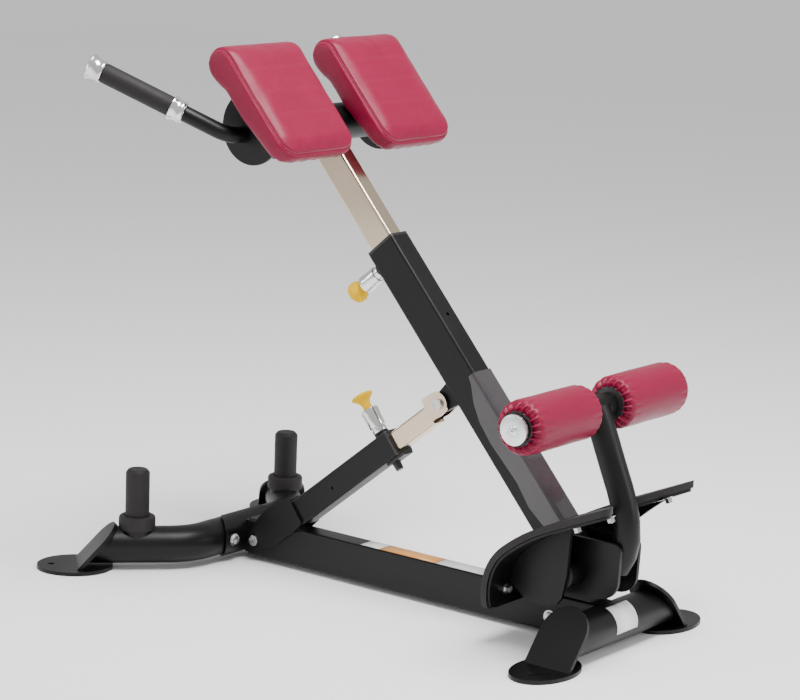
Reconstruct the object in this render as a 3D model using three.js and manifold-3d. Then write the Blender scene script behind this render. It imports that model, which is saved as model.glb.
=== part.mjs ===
// Adjustable roman chair (45 degree back extension bench), millimetres, +Z up,
// +X toward the foot end, the user's left on -Y. Welded steel frame on four oval feet,
// a tilting post held by a telescoping strut, a sliding pad carriage, ankle rollers.
import * as THREE from 'three';
import { mergeVertices } from 'three/addons/utils/BufferGeometryUtils.js';
import Module from 'manifold-3d';

const wasm = await Module();
wasm.setup();

// ---------------------------------------------------------------- driving dimensions
const GAP = 0.4;              // clearance between touching pieces
const ROUND = 20;             // facets round a full circle
// base frame
const FRAME_Z = 48;           // centre height of the frame tubes
const BASE_W = 50, BASE_H = 78, BASE_WALL = 3, BASE_REAR_X = -880, SADDLE_R = 43, SADDLE_BACK = 62, SADDLE_FRONT = 92;
const FRONT_R = 39, REAR_R = 38, CROSS_WALL = 4;
const FRONT_FOOT_Y = 208, FRONT_FOOT_A = 85, FRONT_FOOT_B = 58;
const REAR_FOOT_X = -1087, REAR_FOOT_Y = 324, REAR_FOOT_A = 77, REAR_FOOT_B = 68;
const FOOT_T = 8, FOOT_HOLE_R = 6.5, FOOT_HOLE_OUT = 48;
const REAR_X = -925, REAR_SWEEP = 44, REAR_BEND_R = 110;
const STRAP_W = 100, STRAP_T = 8, FRONT_STRAP_LEN = 130, REAR_STRAP_LEN = 116;
const FRONT_STRAP_ANGLE = 50, REAR_STRAP_ANGLE = 48;
const PEG_R = 24.5, PEG_TOP = 207, PEG_IN = 125, COLLAR_R = 37.5, COLLAR_LOW = 82, COLLAR_TOP = 110;
// tilting post
const HUB_X = -60, HUB_Z = 146, HUB_R = 27, AXLE_R = 10;
const UPRIGHT_R = 24, UPRIGHT_FROM = -100, UPRIGHT_TO = -26;
const POST_ANGLE = 48.6, POST_X = -54.4, POST_Z = 71.9; // underside line of the post
const POST_W = 54, POST_D = 74, POST_WALL = 3.5, POST_FROM = 90, POST_TO = 805;
const CHEEK_LOW = 103, CHEEK_IN = POST_W / 2 + 1.3, CHEEK_T = 8, GUSSET_IN = 80, GUSSET_T = 8;
const GUARD_T = 2.5, GUARD_FROM = 152, GUARD_TO = 486;
// foot treads
const TIP_X = 79, TIP_Z = 315, TREAD_SLOPE = 23.5, TREAD_STRAIGHT = 141;
const TREAD_R1 = 400, TREAD_MID = 40, TREAD_R2 = 120, TREAD_END = 92, TREAD_DROP = 34;
const RUBBER_T = 13, TREAD_T = 6, TREAD_IN = 38, TREAD_OUT = 155, TREAD_CORNER = 14, TREAD_SWEEP_X = 96, TREAD_FLAT = 1.5;
// ankle rollers
const ROLLER_X = -54, ROLLER_Z = 458, ROLLER_R = 52, ROLLER_IN = 41.6, ROLLER_OUT = 258;
const ROLLER_AXLE_R = 12.5, CORE_R = 19, FLANGE_R = 33, FLANGE_T = 4, CAP_R = 29, CAP_T = 8;
const ARM_R = 26, ARM_WALL = 3.5, TEE_R = 23, TEE_HALF = 40;
// pad carriage, positions along the post (s) and above its underside (n)
const TUBE_W = 38, TUBE_D = 60, TUBE_WALL = 2.5, TUBE_FROM = 560, TUBE_N = 37;
const BAR_S = 1095, BAR_N = 41, BAR_R = 37.5, BAR_WALL = 4;
const BRACKET_S = 1100, BRACKET_N = 45, BRACKET_R = 73, BRACKET_IN = 196, BRACKET_T = 8;
const PAD_IN = 46, PAD_OUT = 268, PAD_LOW = 976, PAD_HIGH = 1248, PAD_TOP = 139;
const PAD_UNDER_HIGH = 79, PAD_UNDER_LOW = 97, NOSE_R = 36, PAD_EDGE = 13, PAD_CORNER = 42;
const BOARD_T = 6, BOARD_FROM = 1000, BOARD_TO = 1158, BOARD_IN = 62, BOARD_OUT = 252;
// handles
const HANDLE_R = 16, HANDLE_BEND_R = 50, HANDLE_END = [-1006, 373, 1030], HANDLE_ROOT = [-767, 912];
const GRIP_R = 20, GRIP_FROM = 22, GRIP_TO = 170, CUFF_LEN = 28, CUFF_R = 25;
// telescoping strut
const STRUT_X = -857, STRUT_Z = 45, LUG_X = -409, LUG_Z = 407;
const STRUT_W = 50, STRUT_D = 54, STRUT_WALL = 3, STRUT_FROM = 129, STRUT_TO = 428;
const FORK_T = 6, FORK_R = 22, FORK_TO = 134, PIVOT_BOLT_R = 7, BOLT_HEAD_R = 11, BOLT_HEAD_T = 6;
const SLIDER_W = 36, SLIDER_D = 40, SLIDER_WALL = 3, SLIDER_FROM = 250, EAR_R = 24, STRUT_DROP = -7, EAR_T = 5.5;
const LUG_T = 20, LUG_R = 19, LUG_BOLT_R = 5.5, LUG_PLAY = 5.5; // play lets the open pivot follow the tilt
// pull pins
const UPPER_PIN_S = POST_TO - 30.5, LOWER_PIN_S = STRUT_TO - 24, PIN_R = 5.5, PIN_HOLE_R = 6.2;
const BOSS_R = 16, BOSS_H = 9, BARREL_R = 18, BARREL_LEN = 52, KNOB_R = 22, PIN_PITCH = 45;

// ---------------------------------------------------------------- shape helpers
const rad = THREE.MathUtils.degToRad;
const v3 = (x, y, z) => new THREE.Vector3(x, y, z);

function solid(geometry) {
  const g = geometry.clone();
  g.deleteAttribute('normal'); g.deleteAttribute('uv');
  const m = mergeVertices(g, 1e-4);
  return new wasm.Manifold(new wasm.Mesh({
    numProp: 3,
    vertProperties: new Float32Array(m.attributes.position.array),
    triVerts: new Uint32Array(m.index.array),
  }));
}

function geometryOf(body) {
  const mesh = body.getMesh();
  const g = new THREE.BufferGeometry();
  g.setAttribute('position', new THREE.BufferAttribute(new Float32Array(mesh.vertProperties), 3));
  g.setIndex(new THREE.BufferAttribute(new Uint32Array(mesh.triVerts), 1));
  return g.toNonIndexed();
}

const join = (...parts) => parts.reduce((a, b) => a.add(b));
const cut = (body, ...tools) => tools.reduce((a, b) => a.subtract(b), body);

function boxAt(x0, x1, y0, y1, z0, z1) {
  const g = new THREE.BoxGeometry(x1 - x0, y1 - y0, z1 - z0);
  return solid(g.translate((x0 + x1) / 2, (y0 + y1) / 2, (z0 + z1) / 2));
}

// round bar between two points
function rod(a, b, r, r2 = r, facets = ROUND) {
  const along = b.clone().sub(a);
  const g = new THREE.CylinderGeometry(r2, r, along.length(), facets);
  g.applyQuaternion(new THREE.Quaternion().setFromUnitVectors(v3(0, 1, 0), along.clone().normalize()));
  return solid(g.translate(...a.clone().add(b).multiplyScalar(0.5).toArray()));
}
const rodY = (x, z, y0, y1, r, facets = ROUND) => rod(v3(x, y0, z), v3(x, y1, z), r, r, facets);

// outline in the X-Z plane pushed along Y from y0 to y1
function slab(points, y0, y1) {
  const shape = new THREE.Shape(points.map(([x, z]) => new THREE.Vector2(x, z)));
  const g = new THREE.ExtrudeGeometry(shape, { depth: y1 - y0, bevelEnabled: false });
  return solid(g.rotateX(Math.PI / 2).translate(0, y1, 0));
}

// circle arc points in the X-Z plane, degrees, counted from +X toward +Z
function prism(points, depth) {
  return solid(new THREE.ExtrudeGeometry(new THREE.Shape(points.map(p => new THREE.Vector2(...p))), { depth, bevelEnabled: false }));
}

function arc(cx, cz, r, from, to, steps = 8) {
  return Array.from({ length: steps + 1 }, (_, i) => {
    const t = rad(from + (to - from) * i / steps);
    return [cx + r * Math.cos(t), cz + r * Math.sin(t)];
  });
}

// rectangle with rounded corners, centred on (0, cz) of the Y-Z plane, pushed along X
function roundedBar(x0, x1, w, d, cz, r) {
  const s = new THREE.Shape();
  const a = w / 2, b = d / 2;
  s.absarc(a - r, b - r, r, 0, Math.PI / 2);
  s.absarc(-a + r, b - r, r, Math.PI / 2, Math.PI);
  s.absarc(-a + r, -b + r, r, Math.PI, 1.5 * Math.PI);
  s.absarc(a - r, -b + r, r, 1.5 * Math.PI, 2 * Math.PI);
  const g = new THREE.ExtrudeGeometry(s, { depth: x1 - x0, bevelEnabled: false, curveSegments: 3 });
  g.rotateZ(Math.PI / 2).rotateY(Math.PI / 2);
  return solid(g.translate(x0, 0, cz));
}

// round bar along a list of points, with one ring of facets at each
class Knots extends THREE.Curve {
  constructor(points) { super(); this.points = points; }
  index(u) { return Math.round(u * (this.points.length - 1)); }
  getPointAt(u) { return this.points[this.index(u)].clone(); }
  getTangentAt(u) {
    const i = this.index(u), p = this.points;
    const a = p[Math.max(i - 1, 0)], b = p[i], c = p[Math.min(i + 1, p.length - 1)];
    const before = b.clone().sub(a).normalize(), after = c.clone().sub(b).normalize();
    return before.add(after).normalize();
  }
}
function bent(points, r, facets = 20) {
  const ring = new THREE.Shape().absarc(0, 0, r, 0, 2 * Math.PI);
  const steps = points.length - 1;
  return solid(new THREE.ExtrudeGeometry(ring, { steps, curveSegments: facets / 2, extrudePath: new Knots(points) }));
}

// centre line through corner points, each corner eased to a bend radius
function eased(corners, radius, steps = 5) {
  const out = [corners[0]];
  for (let i = 1; i + 1 < corners.length; i++) {
    const p = corners[i];
    const a = corners[i - 1].clone().sub(p).normalize(), b = corners[i + 1].clone().sub(p).normalize();
    const reach = radius / Math.tan(a.angleTo(b) / 2);
    const from = p.clone().addScaledVector(a, reach), to = p.clone().addScaledVector(b, reach);
    out.push(...new THREE.QuadraticBezierCurve3(from, p, to).getSpacedPoints(steps));
  }
  return [...out, corners[corners.length - 1]];
}

function turned(profile, facets = ROUND) { // profile [r, z], about the Z axis, closed on the axis or on itself
  const g = new THREE.LatheGeometry(profile.map(([r, z]) => new THREE.Vector2(r, z)), facets);
  return solid(g.rotateX(Math.PI / 2));
}

// ---------------------------------------------------------------- materials and placing
const finish = {
  black: new THREE.MeshStandardMaterial({ color: 0x1c1d1e, roughness: 0.45, metalness: 0.3 }),
  guard: new THREE.MeshStandardMaterial({ color: 0x55565a, roughness: 0.3, metalness: 0.4 }),
  chrome: new THREE.MeshStandardMaterial({ color: 0xc9c6c0, roughness: 0.12, metalness: 1 }),
  zinc: new THREE.MeshStandardMaterial({ color: 0xb9bbbd, roughness: 0.3, metalness: 1 }),
  aluminium: new THREE.MeshStandardMaterial({ color: 0xd6d8da, roughness: 0.25, metalness: 1 }),
  rubber: new THREE.MeshStandardMaterial({ color: 0x2b2928, roughness: 0.8 }),
  plastic: new THREE.MeshStandardMaterial({ color: 0x151515, roughness: 0.5 }),
  yellow: new THREE.MeshStandardMaterial({ color: 0xf6c800, roughness: 0.35 }),
  vinyl: new THREE.MeshStandardMaterial({ color: 0xa5243d, roughness: 0.4 }),
};

const chair = new THREE.Group();
chair.name = 'roman_chair';
const groups = {};
function group(name, parent = chair) {
  const g = new THREE.Group();
  g.name = name;
  parent.add(g);
  groups[name] = g;
  return g;
}
function place(name, body, look, parent) {
  const mesh = new THREE.Mesh(geometryOf(body), finish[look].clone());
  mesh.name = name;
  parent.add(mesh);
  return mesh;
}
const sides = [['left', -1], ['right', 1]];

// ================================================================ fixed base
const base = group('base');

// straps are flat plates leaning inward from the foot; the cross tubes end on them
function strap(length, angle, outline = STRAP_W / 2) {
  const straight = length * 0.58;
  const pts = [[-outline, 0], [outline, 0], [outline, straight]];
  for (let i = 1; i < 12; i++) {
    const t = Math.PI * i / 12;
    pts.push([outline * Math.cos(t), straight + (length - straight) * Math.sin(t)]);
  }
  pts.push([-outline, straight]);
  const shape = new THREE.Shape(pts.map(p => new THREE.Vector2(...p)));
  const g = new THREE.ExtrudeGeometry(shape, { depth: STRAP_T, bevelEnabled: false });
  // plate rises along its own +Y, turned up out of the floor and leaning toward +Y
  return solid(g.translate(0, 0, -STRAP_T).rotateX(rad(angle))).translate([0, 0, FOOT_T]);
}

// the foot seen with its arm running toward +Y, centred on the oval
function foot(a, b, length, angle) {
  const oval = new THREE.Shape().absellipse(0, 0, b, a, 0, 2 * Math.PI);
  oval.holes.push(new THREE.Path().absarc(0, -FOOT_HOLE_OUT, FOOT_HOLE_R, 0, 2 * Math.PI));
  const g = new THREE.ExtrudeGeometry(oval, { depth: FOOT_T, bevelEnabled: false, curveSegments: 20 });
  const plate = solid(g);
  const floor = boxAt(-200, 200, -200, 200, -60, FOOT_T - 0.5);
  return join(plate, cut(strap(length, angle).translate([0, 2, -0.5]), floor));
}

// everything on the foot side of a strap, used to trim the tube ends
function strapTrim(angle) {
  const g = new THREE.BoxGeometry(400, 400, 300).translate(0, 0, 150 - STRAP_T - GAP);
  return solid(g.rotateX(rad(angle)).translate(0, 2, FOOT_T - 0.5));
}

// front cross tube and its feet
const frontAt = (body, side) => (side < 0 ? body : body.rotate([0, 0, 180])).translate([0, side * FRONT_FOOT_Y, 0]);
{
  const outer = rodY(0, FRAME_Z, -260, 260, FRONT_R, 40);
  const bore = rodY(0, FRAME_Z, -262, 262, FRONT_R - CROSS_WALL, 40);
  let tube = cut(outer, bore);
  for (const [, side] of sides) tube = cut(tube, frontAt(strapTrim(FRONT_STRAP_ANGLE), side));
  place('front_cross_tube', tube, 'black', base);
  for (const [word, side] of sides) {
    const f = foot(FRONT_FOOT_A, FRONT_FOOT_B, FRONT_STRAP_LEN, FRONT_STRAP_ANGLE);
    place(`foot_front_${word}`, frontAt(f, side), 'black', base);
  }
}

// rear cross tube: straight middle, arms swept back
const sweep = rad(REAR_SWEEP);
const armIn = v3(Math.sin(sweep), Math.cos(sweep), 0);       // left arm, from foot toward the middle
const cornerY = -REAR_FOOT_Y + (REAR_X - REAR_FOOT_X) / Math.tan(sweep);
const rearAt = (body, side) => {
  const b = body.rotate([0, 0, -REAR_SWEEP]).translate([REAR_FOOT_X, -REAR_FOOT_Y, 0]);
  return side < 0 ? b : b.mirror([0, 1, 0]);
};
function rearPath(extra) {
  const end = v3(REAR_FOOT_X, -REAR_FOOT_Y, FRAME_Z).addScaledVector(armIn, -extra);
  const corner = v3(REAR_X, cornerY, FRAME_Z);
  return eased([end, corner, v3(corner.x, -corner.y, corner.z), v3(end.x, -end.y, end.z)], REAR_BEND_R);
}
{
  let tube = cut(bent(rearPath(40), REAR_R, 28), bent(rearPath(42), REAR_R - CROSS_WALL, 24));
  for (const [, side] of sides) tube = cut(tube, rearAt(strapTrim(REAR_STRAP_ANGLE), side));
  place('rear_cross_tube', tube, 'black', base);
  for (const [word, side] of sides) {
    const f = foot(REAR_FOOT_A, REAR_FOOT_B, REAR_STRAP_LEN, REAR_STRAP_ANGLE);
    place(`foot_rear_${word}`, rearAt(f, side), 'black', base);
  }
}

// base tube between the two, notched round the front tube, bored for the strut pivot bolt
const bar = (x0, x1, w, d, wall, r) => {
  const outer = roundedBar(x0, x1, w, d, 0, r);
  return wall ? cut(outer, roundedBar(x0 - 1, x1 + 1, w - 2 * wall, d - 2 * wall, 0, Math.max(r - wall, 1))) : outer;
};
{
  const tube = bar(BASE_REAR_X, -8, BASE_W, BASE_H, BASE_WALL, 6).translate([0, 0, FRAME_Z]);
  place('base_tube', cut(tube,
    rodY(0, FRAME_Z, -60, 60, FRONT_R + GAP, 40),
    rodY(STRUT_X, STRUT_Z, -60, 60, PIVOT_BOLT_R + GAP)), 'black', base);
}

// rear saddle: half shell that cups the front of the rear tube, its ends cut on the slant,
// with a block that closes the base tube's end
{
  const front = REAR_X + SADDLE_R + 1;
  const plan = prism([[REAR_X, -SADDLE_BACK], [front, -SADDLE_FRONT], [front, SADDLE_FRONT], [REAR_X, SADDLE_BACK]], 200)
    .translate([0, 0, FRAME_Z - 100]);
  const shell = rodY(REAR_X, FRAME_Z, -SADDLE_FRONT, SADDLE_FRONT, SADDLE_R, 40).intersect(plan);
  const block = boxAt(REAR_X + REAR_R - 2, BASE_REAR_X - GAP, -BASE_W / 2 + 1, BASE_W / 2 - 1, FRAME_Z - 34, FRAME_Z + 34);
  place('rear_saddle', cut(join(shell, block), rodY(REAR_X, FRAME_Z, -120, 120, REAR_R + GAP, 40)), 'black', base);
}

// weight plate pegs standing on the swept arms
for (const [word, side] of sides) {
  const at = v3(REAR_FOOT_X, -REAR_FOOT_Y, FRAME_Z).addScaledVector(armIn, PEG_IN);
  const a = at.clone().addScaledVector(armIn, -90), b = at.clone().addScaledVector(armIn, 90);
  const seat = rod(a, b, REAR_R + GAP, REAR_R + GAP, 28);
  const z0 = FRAME_Z + 24;
  const neck = rod(v3(at.x, at.y, z0), v3(at.x, at.y, COLLAR_LOW + 1), COLLAR_R - 6);
  const ring = cut(join(neck, rod(v3(at.x, at.y, COLLAR_LOW), v3(at.x, at.y, COLLAR_TOP), COLLAR_R)),
    rod(v3(at.x, at.y, z0 - 1), v3(at.x, at.y, COLLAR_TOP + 1), PEG_R + GAP), seat);
  const peg = cut(join(rod(v3(at.x, at.y, z0), v3(at.x, at.y, PEG_TOP - 6), PEG_R),
    rod(v3(at.x, at.y, PEG_TOP - 6.01), v3(at.x, at.y, PEG_TOP), PEG_R, PEG_R - 5)), seat);
  const mirror = body => side < 0 ? body : body.mirror([0, 1, 0]);
  place(`peg_collar_${word}`, mirror(ring), 'rubber', base);
  place(`peg_${word}`, mirror(peg), 'rubber', base);
}

// upright on the base tube carrying the tilt axle
{
  const floor = FRAME_Z + BASE_H / 2 + GAP;
  const outline = [[UPRIGHT_FROM, floor], [UPRIGHT_TO, floor], ...arc(HUB_X, HUB_Z, UPRIGHT_R, 0, 180, 14)];
  place('pivot_upright', cut(slab(outline, -25, 25), rodY(HUB_X, HUB_Z, -40, 40, AXLE_R + GAP)), 'black', base);
  const end = GUSSET_IN - GAP;              // the gussets close both ends of the sleeves over it
  place('pivot_axle', rodY(HUB_X, HUB_Z, -end, end, AXLE_R), 'zinc', base);
}

// ================================================================ tilting post frame
const post = group('post_frame');
const along = v3(-Math.cos(rad(POST_ANGLE)), 0, Math.sin(rad(POST_ANGLE)));
const above = v3(Math.sin(rad(POST_ANGLE)), 0, Math.cos(rad(POST_ANGLE)));
function postGroup(name, parent) { // local X runs up the post, local Z stands off its underside
  const g = group(name, parent);
  g.position.set(POST_X, 0, POST_Z);
  g.quaternion.setFromRotationMatrix(new THREE.Matrix4().makeBasis(along, v3(0, -1, 0), above));
  return g;
}
const onPost = postGroup('post_members', post);
const near = { left: 1, right: -1 }; // local Y of the post members

{
  const tube = bar(POST_FROM, POST_TO, POST_W, POST_D, POST_WALL, 6).translate([0, 0, POST_D / 2]);
  const boss = rod(v3(UPPER_PIN_S, 0, -BOSS_H), v3(UPPER_PIN_S, 0, 1), BOSS_R);
  place('post_tube', cut(join(tube, boss),
    rod(v3(UPPER_PIN_S, 0, -20), v3(UPPER_PIN_S, 0, 10), PIN_R + GAP + 0.3),
    rod(v3(618, 0, POST_D - 10), v3(618, 0, POST_D + 10), 4, 4, 16)), 'black', onPost);

  // plastic guide in the mouth of the post, with a lip outside it
  const w = POST_W - 2 * POST_WALL - 2 * GAP, d = POST_D - 2 * POST_WALL - 2 * GAP;
  const lip = bar(POST_TO + GAP, POST_TO + 6, POST_W, POST_D, 0, 6);
  const body = join(bar(POST_TO - 55, POST_TO + 2, w, d, 0, 3), lip);
  place('post_bushing', cut(body, bar(POST_TO - 60, POST_TO + 10, TUBE_W + 2 * GAP, TUBE_D + 2 * GAP, 0, 4))
    .translate([0, 0, TUBE_N]).subtract(rod(v3(UPPER_PIN_S, 0, -20), v3(UPPER_PIN_S, 0, 20), PIN_R + GAP + 0.3)),
  'plastic', onPost);

  // scuff guard wrapped over the top of the lower post, its sides cut to a sweep
  const shell = cut(roundedBar(GUARD_FROM, GUARD_TO, POST_W + 2 * GUARD_T + 2 * GAP, POST_D + 20, POST_D / 2, 8),
    roundedBar(GUARD_FROM - 1, GUARD_TO + 1, POST_W + 2 * GAP, POST_D + 20 - 2 * GUARD_T, POST_D / 2, 6.3));
  const drop = shell.translate([0, 0, GUARD_T + GAP - 10]);
  const sweepCut = slab([[GUARD_FROM - 5, -40], [GUARD_TO + 5, -40], [GUARD_TO + 5, 62], [GUARD_TO - 15, 56],
    [GUARD_TO - 48, 38], [GUARD_TO - 85, 27], [GUARD_TO - 130, 24], [GUARD_FROM + 110, 30],
    [GUARD_FROM + 60, 24], [GUARD_FROM + 20, 30], [GUARD_FROM - 5, 34]], -60, 60);
  place('scuff_guard', cut(drop, sweepCut), 'guard', onPost);
}

// side brackets: inner cheek, hub sleeve and outer gusset welded together
function treadPoints(offset, steps = 6) { // walking surface moved inward by offset, from the tip down
  const inward = a => [Math.sin(rad(a)), -Math.cos(rad(a))];
  const pts = [];
  const tip = [TIP_X, TIP_Z];
  const bend1 = [tip[0] - TREAD_STRAIGHT * Math.cos(rad(TREAD_SLOPE)), tip[1] - TREAD_STRAIGHT * Math.sin(rad(TREAD_SLOPE))];
  const n0 = inward(TREAD_SLOPE);
  pts.push([tip[0] + n0[0] * offset, tip[1] + n0[1] * offset]);
  const c1 = [bend1[0] + n0[0] * TREAD_R1, bend1[1] + n0[1] * TREAD_R1];
  for (let i = 0; i <= steps; i++) {
    const a = TREAD_SLOPE + (TREAD_MID - TREAD_SLOPE) * i / steps, n = inward(a);
    pts.push([c1[0] - n[0] * (TREAD_R1 - offset), c1[1] - n[1] * (TREAD_R1 - offset)]);
  }
  const nm = inward(TREAD_MID);
  const c2 = [c1[0] - nm[0] * (TREAD_R1 - TREAD_R2), c1[1] - nm[1] * (TREAD_R1 - TREAD_R2)];
  for (let i = 1; i <= 2 * steps; i++) {
    const a = TREAD_MID + (TREAD_END - TREAD_MID) * i / (2 * steps), n = inward(a);
    pts.push([c2[0] - n[0] * (TREAD_R2 - offset), c2[1] - n[1] * (TREAD_R2 - offset)]);
  }
  const last = pts[pts.length - 1], e = rad(TREAD_END);
  pts.push([last[0] - Math.cos(e) * TREAD_DROP, last[1] - Math.sin(e) * TREAD_DROP]);
  return pts;
}
const treadBand = (a, b) => [...treadPoints(a), ...treadPoints(b).reverse()];
const under = treadPoints(RUBBER_T + TREAD_T + GAP);

// plan of the left tread: the inner side curves away toward the tip, the outer corners are eased
function treadTrim(inset) {
  const out = -TREAD_OUT + inset, tip = TIP_X + 2 - inset, inn = -TREAD_IN - inset, foot = treadFoot + inset;
  const plan = [[-260, inn], [-260, out], ...arc(tip - TREAD_CORNER, out + TREAD_CORNER, TREAD_CORNER, 270, 360, 5)];
  for (let i = 1; i <= 9; i++) {
    const t = i / 9 * Math.PI / 2, c = Math.cos(t) ** TREAD_FLAT, d = Math.sin(t) ** TREAD_FLAT;
    plan.push([tip - TREAD_SWEEP_X * (1 - c), out + TREAD_CORNER + (inn - out - TREAD_CORNER) * d]);
  }
  const face = [[inn + 1, 380], [inn + 1, foot], [out + 18, foot], [out + 5, foot + 5], [out, foot + 18], [out, 380]];
  return prism(plan, 400).intersect(prism(face, 400).rotate([90, 0, 90]).translate([-300, 0, 0]));
}
const treadFoot = Math.min(...treadPoints(0).map(([, z]) => z)) - 1;

for (const [word, side] of sides) {
  const span = (a, b) => side < 0 ? [-b, -a] : [a, b];
  const trim = inset => side < 0 ? treadTrim(inset) : treadTrim(inset).mirror([0, 1, 0]);
  const cheek = [[-98, 112], [-84, 100], ...arc(-2, CHEEK_LOW + 40, 40, 270, 360, 7), [40, 192], ...arc(26, 200, 14, 0, 90, 4),
    [-60, 214], [-96, 212], [-134, 178]];
  // the gusset meets the underside of the tread along its top edge
  const reach = word === 'left' ? -38 : 60;
  const roof = under.filter(([x, z]) => x < reach - 4 && z > 104);
  const slope = Math.tan(rad(TREAD_SLOPE));
  const roofAt = x => under[0][1] - (under[0][0] - x) * slope;
  const gusset = [[reach, roofAt(reach)], ...roof, [-150, 98], [-138, 88],
    [-119, 82], [-86, 82], [-62, 90], [-52, 104], [-43, 150], ...(reach > 0 ? [[-28, 200], [-6, 232], [30, 262]] : [])];
  const body = join(slab(cheek, ...span(CHEEK_IN, CHEEK_IN + CHEEK_T)),
    rodY(HUB_X, HUB_Z, ...span(CHEEK_IN + 2, GUSSET_IN + 2), HUB_R),
    slab(gusset, ...span(GUSSET_IN, GUSSET_IN + GUSSET_T)));
  place(`pivot_bracket_${word}`, cut(body, rodY(HUB_X, HUB_Z, ...span(10, GUSSET_IN), AXLE_R + GAP)), 'black', post);
  place(`tread_plate_${word}`, slab(treadBand(RUBBER_T + GAP, RUBBER_T + TREAD_T), ...span(TREAD_IN, TREAD_OUT))
    .intersect(trim(3)), 'black', post);
  place(`tread_rubber_${word}`, slab(treadBand(0, RUBBER_T), ...span(TREAD_IN, TREAD_OUT)).intersect(trim(0)), 'rubber', post);
}

// roller arm: bent tube with a cross sleeve at the top
{
  const path = new THREE.CatmullRomCurve3([v3(ROLLER_X, 0, ROLLER_Z), v3(-10, 0, 354), v3(16, 0, 292),
    v3(29, 0, 236), v3(27, 0, 196), v3(10, 0, 160)]).getSpacedPoints(10);
  const tube = cut(bent(path, ARM_R, 24), bent(path, ARM_R - ARM_WALL, 16));
  const tee = rodY(ROLLER_X, ROLLER_Z, -TEE_HALF, TEE_HALF, TEE_R);
  const crown = rod(v3(ROLLER_X, 0, ROLLER_Z), v3(ROLLER_X - 3, 0, ROLLER_Z + 8), ARM_R - 3, ARM_R - 8, 24);
  place('roller_arm', cut(join(tube, tee, crown), rodY(ROLLER_X, ROLLER_Z, -60, 60, ROLLER_AXLE_R + GAP)), 'black', post);
  const end = ROLLER_OUT + FLANGE_T;
  place('roller_axle', rodY(ROLLER_X, ROLLER_Z, -end, end, ROLLER_AXLE_R), 'zinc', post);
}

// lug under the post that the strut slider bolts to
const lugRel = v3(LUG_X - POST_X, 0, LUG_Z - POST_Z);
const lugS = lugRel.dot(along), lugN = lugRel.dot(above);
{
  const tongue = slab([[lugS - 26, -GAP], ...arc(lugS, lugN, LUG_R, 180, 360, 10), [lugS + 26, -GAP]], -LUG_T / 2, LUG_T / 2);
  place('post_lug', cut(tongue, rodY(lugS, lugN, -30, 30, LUG_BOLT_R + LUG_PLAY)), 'black', onPost);
}

// pull pins: a chromed barrel on the boss, a plunger through it, a knob on the plunger
function pinSet(name, parent, body, x, z0, dir) {
  const at = t => v3(x, 0, z0 + dir * t);
  const barrel = cut(join(rod(at(BOSS_H + GAP), at(BOSS_H + 10), BARREL_R - 3),
    rod(at(BOSS_H + 9.9), at(BOSS_H + BARREL_LEN), BARREL_R - 2, BARREL_R + 1)),
  rod(at(0), at(BOSS_H + 80), PIN_R + GAP));
  place(`${name}_pin_housing`, barrel, 'chrome', parent);
  const top = BOSS_H + BARREL_LEN;
  const reach = -4.4; // the tip rests just short of the sliding tube
  place(`${name}_pin`, join(rod(at(reach), at(top + 8), PIN_R), rod(at(reach - 2), at(reach + 0.1), PIN_R - 1.2, PIN_R)), 'zinc', body);
  return { at, top };
}
const knobShape = (name, set, profile, body) => {
  // profile lists [radius, distance past the barrel]
  const parts = [];
  for (let i = 0; i + 1 < profile.length; i++) {
    const [r0, t0] = profile[i], [r1, t1] = profile[i + 1];
    parts.push(rod(set.at(set.top + t0 - (i ? 0.01 : 0)), set.at(set.top + t1), r0, r1));
  }
  const socket = rod(set.at(set.top - 20), set.at(set.top + 8 + GAP), PIN_R + GAP);
  place(name, cut(join(...parts), socket), 'yellow', body);
};
{
  const pinGroup = postGroup('upper_pull', chair);
  const set = pinSet('upper', onPost, pinGroup, UPPER_PIN_S, 0, -1);
  knobShape('upper_knob', set, [[10, 1.5], [11, 8], [19, 14], [KNOB_R, 22], [KNOB_R, 27], [19, 33], [10, 36]], pinGroup);
}

// ================================================================ ankle rollers
for (const [word, side] of sides) {
  const rollers = group(`roller_${word}_spin`);
  rollers.position.set(ROLLER_X, side * (ROLLER_IN + ROLLER_OUT) / 2, ROLLER_Z);
  rollers.rotation.x = side * -Math.PI / 2;   // local Z points outward
  const half = (ROLLER_OUT - ROLLER_IN) / 2, in0 = -half + FLANGE_T, soft = 15;
  const foam = [[CORE_R + GAP, in0 + GAP], [FLANGE_R - 4, in0 + GAP], [ROLLER_R - soft, in0 + 2]];
  for (let i = 1; i <= 4; i++) {
    const t = Math.PI / 2 * i / 4;
    foam.push([ROLLER_R - soft + soft * Math.sin(t), in0 + 2 + soft * (1 - Math.cos(t))]);
  }
  const mirrored = foam.map(([r, z]) => [r, -z]).reverse();
  place(`roller_pad_${word}`, turned([...foam, ...mirrored, foam[0]], 32), 'vinyl', rollers);
  const out = half, q = half - FLANGE_T;
  place(`roller_core_${word}`, turned([[ROLLER_AXLE_R + GAP, -out], [FLANGE_R - 4, -out], [FLANGE_R - 4, -q], [CORE_R, -q],
    [CORE_R, q], [FLANGE_R, q], [FLANGE_R, out], [ROLLER_AXLE_R + GAP, out], [ROLLER_AXLE_R + GAP, -out]]), 'plastic', rollers);
  const y0 = side * (ROLLER_OUT + FLANGE_T + GAP), y1 = y0 + side * CAP_T;
  const cap = join(rod(v3(ROLLER_X, y0, ROLLER_Z), v3(ROLLER_X, y1 - side * 2, ROLLER_Z), CAP_R),
    rod(v3(ROLLER_X, y1 - side * 2.01, ROLLER_Z), v3(ROLLER_X, y1, ROLLER_Z), CAP_R, CAP_R - 2));
  place(`roller_cap_${word}`, cut(cap, rod(v3(ROLLER_X, y1 - side * 2.5, ROLLER_Z), v3(ROLLER_X, y1 + side * 5, ROLLER_Z), 5, 5, 6)),
    'aluminium', post);
}

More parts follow.
